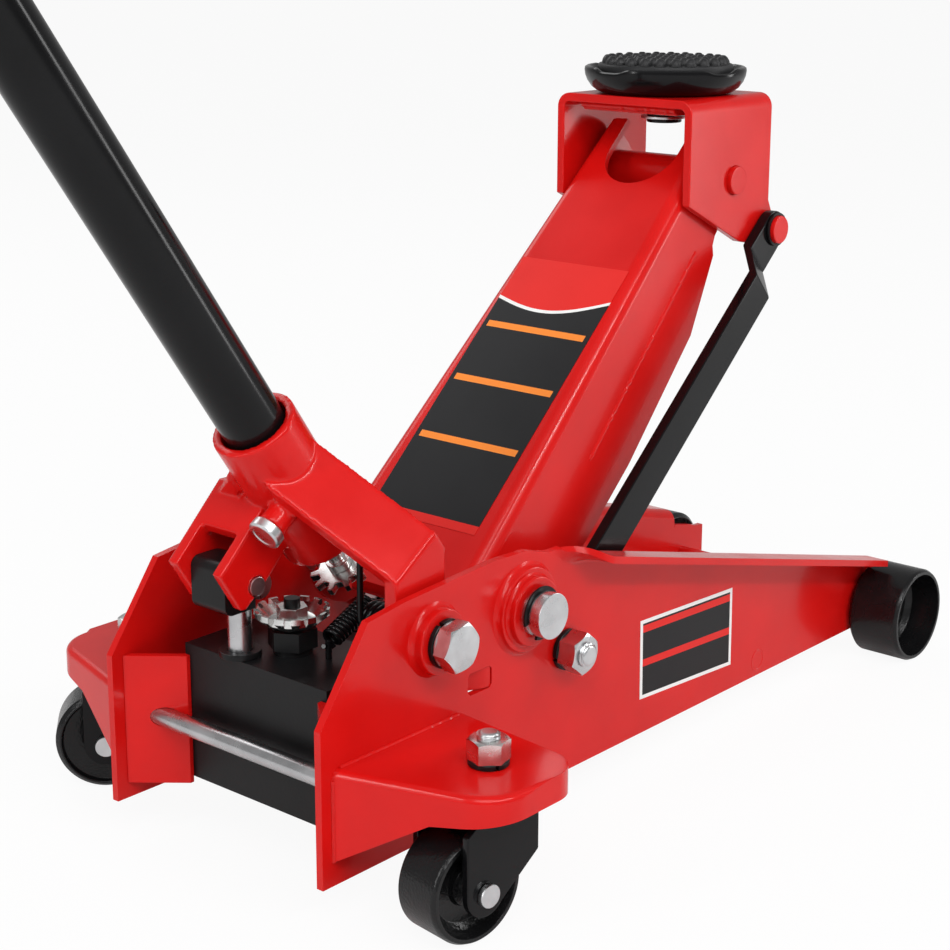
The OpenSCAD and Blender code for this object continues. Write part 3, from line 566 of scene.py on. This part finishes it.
def side_plate(side):
    """One side plate pressed from sheet: its top edge rolls outward into the flange."""
    node = "side_plate_right" if side < 0 else "side_plate_left"
    low, high = size(node)
    top = high.z
    front = high.x
    flange_w = high.y - PLATE_OUT if side > 0 else -low.y - PLATE_OUT
    flange_a, flange_b = FLANGE_START, FLANGE_END
    za, zb = top - 6.3, 79
    line = (zb - za) / (flange_b - flange_a)
    crest = [(0, 121.5), (39, top - 9), (70, top - 5), (148, top), (178, top - 1), (200, top - 7),
             (flange_a + 8, za - 2)]
    floor = [(0, 26), (front - 10, 22), (front, 34)]
    bend = FLANGE_BEND
    xs = [0, 13, 26, 39, 55, 70, 90, 110, 130, 148, 158, 168, 178, 186, 193, 200]
    xs += [flange_a + 2 * i for i in range(0, 22)]
    xs += [250 + (flange_b - 20 - 250) * i / 24 for i in range(25)]
    xs += [flange_b - 18 + 2 * i for i in range(1, 9)] + [flange_b, flange_b + 0.5, flange_b + 1]
    xs += [front - 20, front - 14, front - 10, front - 5, front - 2, front]
    xs = sorted(set(round(x, 2) for x in xs if x <= front))
    arc_n, flat_n = 8, 3
    rows = []
    for x in xs:
        roll = smooth_step(x, flange_a - 4, flange_a + 34) * (1 - smooth_step(x, flange_b, flange_b + 1))
        angle = math.radians(90) * roll
        ridge = za + line * (x - flange_a)
        free = between(x, crest) if x < flange_a + 8 else ridge - 2
        if x > flange_b - 4:
            free = min(free, zb - 12 - 9 * smooth_step(x, flange_b, front))
        length = (flange_w + PLATE_T / 2 - bend) * roll + 3 * (1 - roll)
        start = (ridge - PLATE_T / 2 - bend) * roll + (free - length) * (1 - roll)
        if not roll:
            start = free - length
        path = [((0, between(x, floor)), (1, 0)), ((0, start), (1, 0))]
        for i in range(1, arc_n + 1):
            a = angle * i / arc_n
            step = bend * a if roll else 0
            y = bend * (1 - math.cos(a))
            z = start + bend * math.sin(a)
            path.append(((y, z if roll else start + step), (math.cos(a), math.sin(a))))
        end_y, end_z = path[-1][0]
        for i in range(1, flat_n + 1):
            reach = length * i / flat_n
            path.append(((end_y + reach * math.sin(angle), end_z + reach * math.cos(angle)),
                         (math.cos(angle), math.sin(angle))))
        half = PLATE_T / 2
        ring = []
        for (y, z), (ny, nz) in path:
            ring.append((x, side * (PLATE_IN + half + y + half * ny), z - half * nz))
        for (y, z), (ny, nz) in reversed(path):
            ring.append((x, side * (PLATE_IN + half + y - half * ny), z + half * nz))
        rows.append(ring)
    n = len(rows[0])
    points = [p for row in rows for p in row]
    faces = [(j * n + i, j * n + (i + 1) % n, (j + 1) * n + (i + 1) % n, (j + 1) * n + i)
             for j in range(len(rows) - 1) for i in range(n)]
    bm = bmesh.new()
    put(bm, points, faces, BASE)
    half_n = n // 2
    bm.verts.ensure_lookup_table()
    for start, flip in ((0, False), ((len(rows) - 1) * n, True)):
        for i in range(half_n - 1):
            quad = [start + i, start + i + 1, start + n - 2 - i, start + n - 1 - i]
            bm.faces.new([bm.verts[k] for k in (quad if flip else quad[::-1])])
    bmesh.ops.remove_doubles(bm, verts=bm.verts, dist=1e-6)
    slot = bmesh.new()
    (xa, xb), (za, zb), c = SLOT_X, SLOT_Z, SLOT_CORNER
    corners = [(xa, za + c), (xa + c, za), (xb - c, za), (xb, za + c), (xb, zb - c), (xb - c, zb),
               (xa + c, zb), (xa, zb - c)]
    prism(slot, corners, side * (PLATE_IN - 4), side * (PLATE_OUT + 4), BASE)
    bm = boolean(bm, slot, "DIFFERENCE")
    round_edges(bm, 0.9, 2, 50)
    for x, z, hole, steps in ((BOLT.x, BOLT.z, BOLT_R, [(20, BOLT_BOSS)]),
                              (ARM.x, ARM.z, ARM_PIN_R + 0.1, ARM_BOSSES)):
        profile = [(hole, -1)]
        previous = 0
        for r, h in steps:
            weld = 3.4 if previous == 0 else 1.6
            profile += [(r + weld, previous - 0.3), (r + weld * 0.45, previous + weld * 0.25),
                        (r + weld * 0.15, previous + weld * 0.6), (r, previous + weld)]
            profile += [(r, h - 1.2), (r - 0.4, h - 0.4), (r - 1.3, h)]
            previous = h
        profile += [(hole, previous)]
        lathe(bm, profile + [profile[0]], along_y(x, z, PLATE_OUT, side), 64)
    piece(node + "_finish", bm, RED, "frame", [node])


def slot_tab(side):
    """The tongue that was cut and pushed in to make the slot below the handle bolt."""
    bm = bmesh.new()
    rows, cols = 9, 7
    points = []
    for face in (0, 1):
        for i in range(rows):
            u = i / (rows - 1)
            for j in range(cols):
                v = j / (cols - 1)
                dip = 6.2 * (1 - smooth_step(u, 0, 0.85))
                y = PLATE_OUT - 0.8 - dip - face * 2.4
                points.append((124.6 + 20.8 * u, side * y, 105.6 + 12.8 * v))
    faces = []
    for face in (0, 1):
        for i in range(rows - 1):
            for j in range(cols - 1):
                a = face * rows * cols + i * cols + j
                faces.append((a, a + 1, a + cols + 1, a + cols))
    rim = [i * cols for i in range(rows)]
    rim += [(rows - 1) * cols + j for j in range(1, cols)]
    rim += [i * cols + cols - 1 for i in range(rows - 2, -1, -1)]
    rim += [j for j in range(cols - 2, 0, -1)]
    for i, a in enumerate(rim):
        b = rim[(i + 1) % len(rim)]
        faces.append((a, b, b + rows * cols, a + rows * cols))
    put(bm, points, faces, BASE)
    name = "slot_tab_right" if side < 0 else "slot_tab_left"
    piece(name, bm, RED, "frame", sharp=60)


def pressed_mark(side):
    """Faint round witness mark low on the plate, in front of the middle."""
    bm = bmesh.new()
    profile = [(6.0, -0.2), (6.6, 0.25), (7.3, 0.35), (8.0, 0.25), (8.6, -0.2)]
    lathe(bm, profile + [profile[0]], along_y(446, 35, PLATE_OUT, side), 40)
    piece("pressed_mark_" + ("right" if side < 0 else "left"), bm, RED, "frame")


def wing(side):
    """Caster wing with its top edge rolled over into the skirt."""
    node = "wing_right" if side < 0 else "wing_left"
    bm = cad_shape(node)
    top = WING_Z * MM - 2e-5
    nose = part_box(node)[1].x - 34 * MM

    def rolled(edge):
        a, b = edge.verts
        outside = min(abs(a.co.y), abs(b.co.y)) > PLATE_OUT * MM - 1e-5
        along_plate = max(abs(a.co.y), abs(b.co.y)) < (PLATE_OUT + 0.5) * MM
        behind_nose = max(a.co.x, b.co.x) < nose
        return min(a.co.z, b.co.z) > top and outside and behind_nose and not along_plate

    round_edges(bm, 4.6, 5, 30, rolled, False)
    round_edges(bm, 0.7, 2, 40)
    piece(node + "_finish", bm, RED, "frame", [node])
    bead = bmesh.new()
    y = side * (PLATE_OUT + 0.4)
    low = size(node)[0]
    lines = [[(low.x + 6 + 1.5 * i, y, WING_Z + 0.1) for i in range(68)],
             [(low.x + 0.6, y, WING_Z - 6 - 1.5 * i) for i in range(34)]]
    for k, line in enumerate(lines):
        sweep_tube(bead, line, 1.3, BASE, 8, 0.35, k + side)
    piece(node + "_weld", bead, RED, "frame", weighted=False)


def fasteners():
    """Bolts, nuts, washers, pins and clips that hold the chassis together."""
    bolts, nuts, washers, studs, clips = (bmesh.new() for _ in range(5))
    for side, turn in ((-1, 8), (1, 37)):
        boss = PLATE_OUT + BOLT_BOSS
        head = along_y(BOLT.x, BOLT.z, boss + 4, side)
        hex_head(bolts, BOLT_FLATS, BOLT_HEAD, head, turn, 0.8)
        shank = [(0, -50), (BOLT_R - 0.4, -50), (BOLT_R, -49.4), (BOLT_R, 0.5), (0, 0.5)]
        lathe(bolts, shank, head)
        split_washer(washers, BOLT_R + 0.2, 15, WASHER_T, along_y(BOLT.x, BOLT.z, boss + 0.1, side), 120)
        nut = along_y(STUD.x, STUD.z, PLATE_OUT + 4, side)
        hex_head(nuts, NUT_FLATS, NUT_HEIGHT, nut, turn + 12, 0, STUD_R - 0.2)
        under = along_y(STUD.x, STUD.z, PLATE_OUT + 0.1, side)
        split_washer(washers, STUD_R + 0.2, 13.4, WASHER_T, under, 200)
        stud = along_y(STUD.x, STUD.z, PLATE_OUT, side)
        lathe(studs, [(0, -3), (STUD_R, -3), (STUD_R, 15.5), (0, 15.5)], stud)
        thread(studs, STUD_R - 0.1, 14.5, 21, stud)
        clip = along_y(ARM.x, ARM.z, PLATE_OUT + 12.6, side)
        ring = [(13.4, 0), (16.6, 0), (17, 0.4), (17, 1.4), (16.6, 1.8), (13.4, 1.8)]
        lathe(clips, ring, clip, 40, 250 if side < 0 else 290, 305)
    piece("handle_bolts_finish", bolts, ZINC, "frame", ["handle_bolts"])
    piece("link_nuts_finish", nuts, ZINC, "frame", ["link_nuts"])
    for side in (-1, 1):
        inner = along_y(STUD.x, STUD.z, PLATE_IN, side)
        lathe(studs, [(0, -10), (11.4, -10), (12, -9.4), (12, -4), (STUD_R, -4), (STUD_R, -2.8),
                      (0, -2.8)], inner)
    piece("link_studs_finish", studs, ZINC, "frame", ["link_studs"])
    piece("arm_pin_clips_finish", clips, SATIN, "frame", ["arm_pin_clips"])
    king_nuts, kings = bmesh.new(), bmesh.new()
    for side in (-1, 1):
        place = pivot("caster_right_swivel" if side < 0 else "caster_left_swivel")
        under = upward(place.x, place.y, WING_Z + 0.1)
        split_washer(washers, KINGPIN_R + 0.2, 12, KINGPIN_WASHER_T, under, 250)
        nut = upward(place.x, place.y, WING_Z + 3.5)
        hex_head(king_nuts, KINGPIN_FLATS, KINGPIN_NUT, nut, 14, 0, KINGPIN_R - 0.2)
        stem = upward(place.x, place.y, WING_Z)
        lathe(kings, [(0, -22), (11, -22), (11, -15.5), (KINGPIN_R, -15.5), (KINGPIN_R, 15), (0, 15)],
              stem)
        thread(kings, KINGPIN_R - 0.1, 14.2, 20, stem)
    piece("kingpin_nuts_finish", king_nuts, BRIGHT, "frame", ["kingpin_nuts"])
    piece("kingpins_finish", kings, ZINC, "frame", ["kingpins"])
    piece("spring_washers_finish", washers, SATIN, "frame", ["spring_washers"])


# ---------------------------------------------------------------- lift arm and head

ARM_TOP = 21.5
ARM_RISE = math.tan(math.radians(2))
ARM_BASE_Y = PLATE_IN - 23.4
ARM_TIP_Y = size("saddle_bracket")[1].y - 9.2
ARM_WALL = 5
ARM_CORNER = 10
NOTCH_R = 29


def arm_tunnel(inset, corner):
    """Tapered bar with rounded upper corners, as long as the arm and deeper than it."""
    rows = []
    for i in range(33):
        x = -50 + 440 * i / 32
        w = ARM_BASE_Y + (ARM_TIP_Y - ARM_BASE_Y) * x / ARM_LEN - inset
        top = ARM_TOP + ARM_RISE * x - inset
        half = [(-w, -80)] + arc(-w + corner, top - corner, corner, 180, 90, 8)
        rows.append([(x, y, z) for y, z in half] + [(x, -y, z) for y, z in reversed(half)])
    n = len(rows[0])
    bm = bmesh.new()
    faces = [(j * n + i, j * n + (i + 1) % n, (j + 1) * n + (i + 1) % n, (j + 1) * n + i)
             for j in range(len(rows) - 1) for i in range(n)]
    faces += [tuple(range(n)), tuple(range(len(rows) * n - 1, (len(rows) - 1) * n - 1, -1))]
    put(bm, [p for row in rows for p in row], faces, ARM_FRAME)
    return bm


def lift_arm():
    """Arm folded from plate: rounded upper corners, U-shaped notch, shaped lower edge."""
    end = ARM_LEN
    outline = [(-21.2, 60), (end + 13, 60), (end + 19, 28)] + arc(end, 0, 20, 10, -110)
    outline += [(end - 34, -22), (end - 40, -25), (end - 44, -31), (end - 52, -34)]
    outline += [(end - 100, -52), (150, -60), (60, -58)] + arc(0, 0, 30, -80, -225, 16)
    side = bmesh.new()
    prism(side, outline, -90, 90, ARM_FRAME)
    bm = boolean(arm_tunnel(0, ARM_CORNER), side, "INTERSECT")
    bm = boolean(bm, arm_tunnel(ARM_WALL, ARM_CORNER - ARM_WALL), "DIFFERENCE")
    notch = bmesh.new()
    cut = arc(end - 11, 0, NOTCH_R, 90, 270, 18)
    cut = [(end + 60, 31), (end + 6, NOTCH_R)] + cut + [(end + 6, -NOTCH_R), (end + 60, -31)]
    n = len(cut)
    points = [(x, y, z) for z in (6, 60) for x, y in cut]
    faces = [tuple(range(n)), tuple(range(2 * n - 1, n - 1, -1))]
    faces += [(i, i + n, (i + 1) % n + n, (i + 1) % n) for i in range(n)]
    put(notch, points, faces, ARM_FRAME)
    bm = boolean(bm, notch, "DIFFERENCE")
    bmesh.ops.dissolve_limit(bm, angle_limit=math.radians(0.3), verts=bm.verts, edges=bm.edges)
    round_edges(bm, 1.3, 3, 40)
    tube_y = PLATE_IN - 15.5
    for x, r, y in ((0, 19, tube_y), (end, 14, ARM_TIP_Y - 1)):
        lathe(bm, [(0, -y), (r - 1, -y), (r, -y + 1), (r, y - 1), (r - 1, y), (0, y)],
              along_y(x, 0, 0, -1, ARM_FRAME), 48)
    for s in (-1, 1):
        lug = [(-16, 0), (16, 0), (11, -50)] + arc(-2.6, -50, 14, 0, -180, 12)
        prism(bm, lug, s * 13 - 5, s * 13 + 5, ARM_FRAME)
    piece("lift_arm_finish", bm, RED, "arm", ["lift_arm"])
    seam = bmesh.new()
    for s in (-1, 1):
        line = []
        for i in range(118):
            x = end - 58 - i * 1.5
            w = ARM_BASE_Y + (ARM_TIP_Y - ARM_BASE_Y) * x / ARM_LEN
            line.append((x, s * (w - 0.7), -9 - 0.05 * (end - x)))
        sweep_tube(seam, line, 1.6, ARM_FRAME, 8, 0.55, s)
        ring = [(20.2 * math.cos(2 * math.pi * k / 48), s * (ARM_BASE_Y + 0.8),
                 20.2 * math.sin(2 * math.pi * k / 48)) for k in range(49)]
        sweep_tube(seam, ring, 1.9, ARM_FRAME, 8, 0.3, s + 5)
    piece("lift_arm_welds", seam, RED, "arm", weighted=False)


def skin(bm, faces, kinds, down):
    """Colours the faces by kind and gives the sheet a thickness."""
    for face, index in zip(faces, kinds):
        face.material_index = index
    sheet = bmesh.ops.extrude_face_region(bm, geom=bm.faces[:])
    bmesh.ops.translate(bm, verts=[v for v in sheet["geom"] if isinstance(v, bmesh.types.BMVert)],
                        vec=down)


def arm_label():
    """Plain panel of colour blocks on the arm's upper face: 0 black, 1 red, 2 white, 3 orange."""
    far, near, foot = 243.8, 34.5, 28.2
    half, cols, margin = 45.4, 24, 1
    bars = (0.27, 0.50, 0.72)
    rows = [[(foot - near) / (far - near)] * (cols + 1), [0.0] * (cols + 1)]
    kinds = [1]
    for bar in bars:
        for v, index in ((bar - 0.012, 0), (bar + 0.012, 3)):
            rows.append([v] * (cols + 1))
            kinds.append(index)
    for offset, index in ((-0.006, 0), (0.006, 2), (None, 1)):
        wave = [0.83 - 0.05 * math.sin(math.pi * k / cols) + 0.035 * k / cols for k in range(cols + 1)]
        rows.append([1.0 if offset is None else v + offset for v in wave])
        kinds.append(index)
    points, faces = [], []
    for row in rows:
        for k, v in enumerate(row):
            x = near + (far - near) * v
            points.append((x, half - 2 * half * k / cols, ARM_TOP + ARM_RISE * x + 0.35))
    colours = []
    for j in range(len(rows) - 1):
        for k in range(cols):
            a = j * (cols + 1) + k
            faces.append((a, a + 1, a + cols + 2, a + cols + 1))
            at_edge = kinds[j] == 3 and not margin <= k < cols - margin
            colours.append(0 if at_edge else kinds[j])
    bm = bmesh.new()
    made = put(bm, points, faces, ARM_FRAME)
    skin(bm, made, colours, ARM_FRAME.to_3x3() @ Vector((0, 0, -0.3)))
    piece("arm_label", bm, LABEL_MATS, "arm", weighted=False)


def side_label():
    """Plain panel of colour blocks on the right side plate: 0 black, 1 red, 2 white."""
    corners = [Vector((299, 0, 105)), Vector((409, 0, 100)), Vector((410, 0, 42)), Vector((300, 0, 49))]
    us = [0, 0.025, 0.975, 1]
    rows = [(0, 2), (0.045, 0), (0.07, 1), (0.16, 0), (0.5, 1), (0.59, 0), (0.955, 2), (1, None)]
    points, faces, kinds = [], [], []
    for v, _ in rows:
        for u in us:
            p = corners[0].lerp(corners[1], u).lerp(corners[3].lerp(corners[2], u), v)
            points.append((p.x, -PLATE_OUT - 0.3, p.z))
    n = len(us)
    for j, (_, index) in enumerate(rows[:-1]):
        for i in range(n - 1):
            faces.append((j * n + i, j * n + i + 1, (j + 1) * n + i + 1, (j + 1) * n + i))
            kinds.append(2 if i in (0, n - 2) else index)
    bm = bmesh.new()
    made = put(bm, points, faces, BASE)
    skin(bm, made, kinds, (0, 0.25 * MM, 0))
    piece("side_label", bm, LABEL_MATS, "frame", weighted=False)


def saddle_head():
    """Bracket, its stiffener weld, the round dish and the knobbed pad."""
    bm = cad_shape("saddle_bracket")
    round_edges(bm, 1.0, 3, 35)
    piece("saddle_bracket_finish", bm, RED, "saddle_head", ["saddle_bracket"])
    low, high = size("bracket_stiffener")
    bead = bmesh.new()
    for x in (low.x - 0.6, high.x + 0.6):
        line = [(x, low.y + 1.4 * i, high.z - 1.6) for i in range(58)]
        sweep_tube(bead, line, 2.2, BASE, 8, 0.45, x)
    piece("bracket_weld", bead, RED, "saddle_head", weighted=False)

    spin = pivot("saddle_spin")
    r = (size("saddle")[1].x - size("saddle")[0].x) / 2
    profile = [(0, 0.3), (r - 13, 0.3), (r - 9, 1.4), (r - 5, 4.4), (r - 2, 8.6), (r - 0.5, 12.5),
               (r, 16), (r - 0.3, 17.8), (r - 1.6, 18.6), (r - 3.2, 18.4), (r - 4.4, 17), (r - 5.6, 14.4),
               (r - 8, 11.8), (r - 12, 11), (0, 11)]
    dish = bmesh.new()
    segments = 120
    points, faces = [], []
    n = len(profile)
    for i in range(segments):
        a = 2 * math.pi * i / segments
        wave = smooth_step(math.cos(4 * a + 0.6), 0.35, 0.95)
        for radius, h in profile:
            drop = 2.6 * wave * smooth_step(h, 11.5, 18)
            points.append((radius * math.cos(a), radius * math.sin(a), h - drop))
    for i in range(segments):
        j = (i + 1) % segments
        faces += [(i * n + k, j * n + k, j * n + k + 1, i * n + k + 1) for k in range(n - 1)]
    put(dish, points, faces, upward(spin.x, spin.y, spin.z))
    bmesh.ops.remove_doubles(dish, verts=dish.verts, dist=1e-7)
    lathe(dish, [(0, -20.6), (12, -20.6), (12.4, -20), (12.4, 1), (0, 1)], upward(spin.x, 0, spin.z))
    piece("saddle_finish", dish, BLACK, "saddle_turn", ["saddle"])

    pad = bmesh.new()
    pr = r - 9.6
    low_z = 11.2
    place = upward(spin.x, 0, spin.z + low_z)
    lathe(pad, [(0, 0), (pr, 0), (pr + 0.6, 1.5), (pr + 0.4, 7.4), (pr - 0.6, 9), (pr - 2.4, 9.5),
                (0, 9.4)], place, 96)
    knob = [(4.5, -0.4), (4.3, 1.2), (3.9, 2.6), (3.1, 3.8), (2.6, 4.5), (1.9, 5.1), (1.2, 5.3), (0, 5.3)]
    spots = [(0, 0)]
    for k in range(4):
        ring = 9 + k * (pr - 13.6) / 3.2
        count = 6 + 6 * k
        spots += [(ring * math.cos(2 * math.pi * i / count), ring * math.sin(2 * math.pi * i / count))
                  for i in range(count)]
    for x, y in spots:
        lathe(pad, knob, upward(spin.x + x, y, spin.z + low_z + 9.3), 12)
    piece("saddle_pad_finish", pad, RUBBER, "saddle_turn", ["saddle_pad"])


# ---------------------------------------------------------------- handle end

def yoke():
    """The cast yoke, its edges and inner corners melted together."""
    bm = cast(cad_shape("yoke"), 1.3, 5)
    piece("yoke_finish", bm, RED, "yoke_fork", ["yoke"], 80, False)


def lock_bolt():
    bm = bmesh.new()
    place = YOKE_FRAME @ Matrix.Translation((0, -16, 80)) @ Matrix.Rotation(math.radians(-90), 4, "Y")
    profile = [(0, 23), (5, 23), (5, 36), (9.6, 36), (10.5, 36.9), (10.5, 42), (9.7, 42.8), (8.8, 43),
               (7.4, 42.9), (6.8, 42.4), (6.2, 42.3), (0, 42.5)]
    lathe(bm, profile, place, 56)
    piece("lock_bolt_finish", bm, ZINC, "yoke_fork", ["lock_bolt"])


def springs():
    """Wound springs: the heavy one round the handle bolt and the small return spring."""
    bm = bmesh.new()
    wire, turns, pitch = 4.0, 6, 4.25
    coil = 11.3
    y0 = -PLATE_IN + 20
    steps = 40
    path = [(coil + 15, y0, -15.5), (coil + 5, y0, -10), (coil + 0.8, y0, -4)]
    for i in range(int((turns - 0.25) * steps) + 1):
        a = 2 * math.pi * i / steps
        path.append((coil * math.cos(a), y0 + pitch * i / steps, coil * math.sin(a)))
    path = path[:3 + int((turns - 0.5) * steps)]
    path += [(-coil, path[-1][1] + 0.4, 4 + 4 * i) for i in range(15)]
    sweep_tube(bm, path, wire / 2, upward(BOLT.x, 0, BOLT.z), 14)
    piece("torsion_spring_finish", bm, BLACK, "yoke_fork", ["torsion_spring"],
          weighted=False)
    bm = bmesh.new()
    base = BASE @ Matrix.Translation((76, -25, 139)) @ Matrix.Rotation(math.radians(65), 4, "Y")
    coil, pitch, turns = 5.5, 2.95, 12
    path = [(0, 0, -7), (1.5, 0.6, -5.4), (4, 1, -3.4), (5.3, 0.4, -1.4)]
    path += [(coil * math.cos(2 * math.pi * i / 24), coil * math.sin(2 * math.pi * i / 24), pitch * i / 24)
             for i in range(24 * turns + 1)]
    top = path[-1][2]
    path += [(5.2, 0.3, top + 1.6), (3.6, 0.2, top + 3.4), (1.2, 0, top + 4.6)]
    sweep_tube(bm, path, 1.35, base, 12)
    post = upward(74, -25, size("pump_block")[1].z)
    lathe(bm, [(0, 0.2), (2, 0.2), (2, 11.4), (1.4, 12), (0, 12)], post, 24)
    piece("return_spring_finish", bm, BLACK, "frame", ["return_spring"], weighted=False)


def grip():
    """Rubber grip with rounded ribs, near the tube's end."""
    tube_end = (size("handle_tube")[1] - GEAR).z / math.cos(TILT) - 19 * math.tan(TILT)
    start = tube_end - 150
    r = 22.5
    profile = [(19.1, 0.4), (r - 1.4, 0.4), (r, 1.6), (r, 7)]
    for i in range(9):
        z = 8 + 15 * i
        profile += [(r, z), (r + 0.9, z + 0.5), (r + 1.5, z + 2), (r + 1.5, z + 6), (r + 0.9, z + 7.5),
                    (r, z + 8)]
    profile += [(r, 142), (r - 0.6, 146), (r - 2, 147.6), (19.1, 147.8)]
    bm = bmesh.new()
    lathe(bm, profile + [profile[0]], YOKE_FRAME @ Matrix.Translation((0, 0, start)), 56)
    piece("handle_grip_finish", bm, RUBBER, "handle", ["handle_grip"])


# ---------------------------------------------------------------- build

def build():
    camera()
    stage()
    for side in (-1, 1):
        side_plate(side)
        slot_tab(side)
        pressed_mark(side)
        wing(side)
    fasteners()
    lift_arm()
    arm_label()
    side_label()
    saddle_head()
    yoke()
    lock_bolt()
    springs()
    grip()
    for node, mat, slot, width in (
            ("gusset_right", RED, "red_paint", 0.9), ("gusset_left", RED, "red_paint", 0.9),
            ("front_axle", RED, "red_paint", 1.2), ("bracket_stiffener", RED, "red_paint", 1.0),
            ("bracket_pin", RED, "red_paint", 1.2), ("link_pins", RED, "red_paint", 1.2),
            ("link_right", BLACK, "black_paint", 1.0), ("link_left", BLACK, "black_paint", 1.0),
            ("pump_block", SATIN, "black_paint", 1.6), ("cylinder", SATIN, "black_paint", 0.8),
            ("cylinder_gland", SATIN, "black_paint", 1.0), ("valve_body", SATIN, "black_paint", 0.8),
            ("valve_stem", SATIN, "black_paint", 0.8), ("filler_plug", SATIN, "black_paint", 0.8),
            ("plunger_guide", SATIN, "black_paint", 0.8), ("link_clips", SATIN, "black_paint", 0.4),
            ("pump_shoe", SATIN, "black_paint", 1.2), ("caster_fork_right", BLACK, "black_paint", 1.2),
            ("caster_fork_left", BLACK, "black_paint", 1.2), ("ram", ROD, "zinc", 0.8),
            ("plunger", ROD, "zinc", 0.8), ("tie_rod", ROD, "zinc", 0.8), ("arm_pin", ZINC, "zinc", 1.0),
            ("valve_gear", BRIGHT, "zinc", 0.5), ("valve_nut", BRIGHT, "zinc", 0.7),
            ("arm_lug_pin", ZINC, "zinc", 0.8), ("saddle_clip", ZINC, "zinc", 0.4),
            ("ear_pin", ZINC, "zinc", 0.8), ("spindle", BRIGHT, "zinc", 0.6),
            ("spindle_gear", BRIGHT, "zinc", 0.7), ("caster_axle_right", ZINC, "zinc", 0.9),
            ("caster_axle_left", ZINC, "zinc", 0.9), ("handle_cap", RUBBER, "rubber", 1.4),
            ("caster_wheel_right", CAST, "cast_black", 0.8), ("caster_wheel_left", CAST, "cast_black", 0.8),
            ("front_wheel_right", CAST, "cast_black", 0.8), ("front_wheel_left", CAST, "cast_black", 0.8),
            ("handle_tube", BLACK, "black_paint", 0)):
        from_cad(node, mat, width)


build()
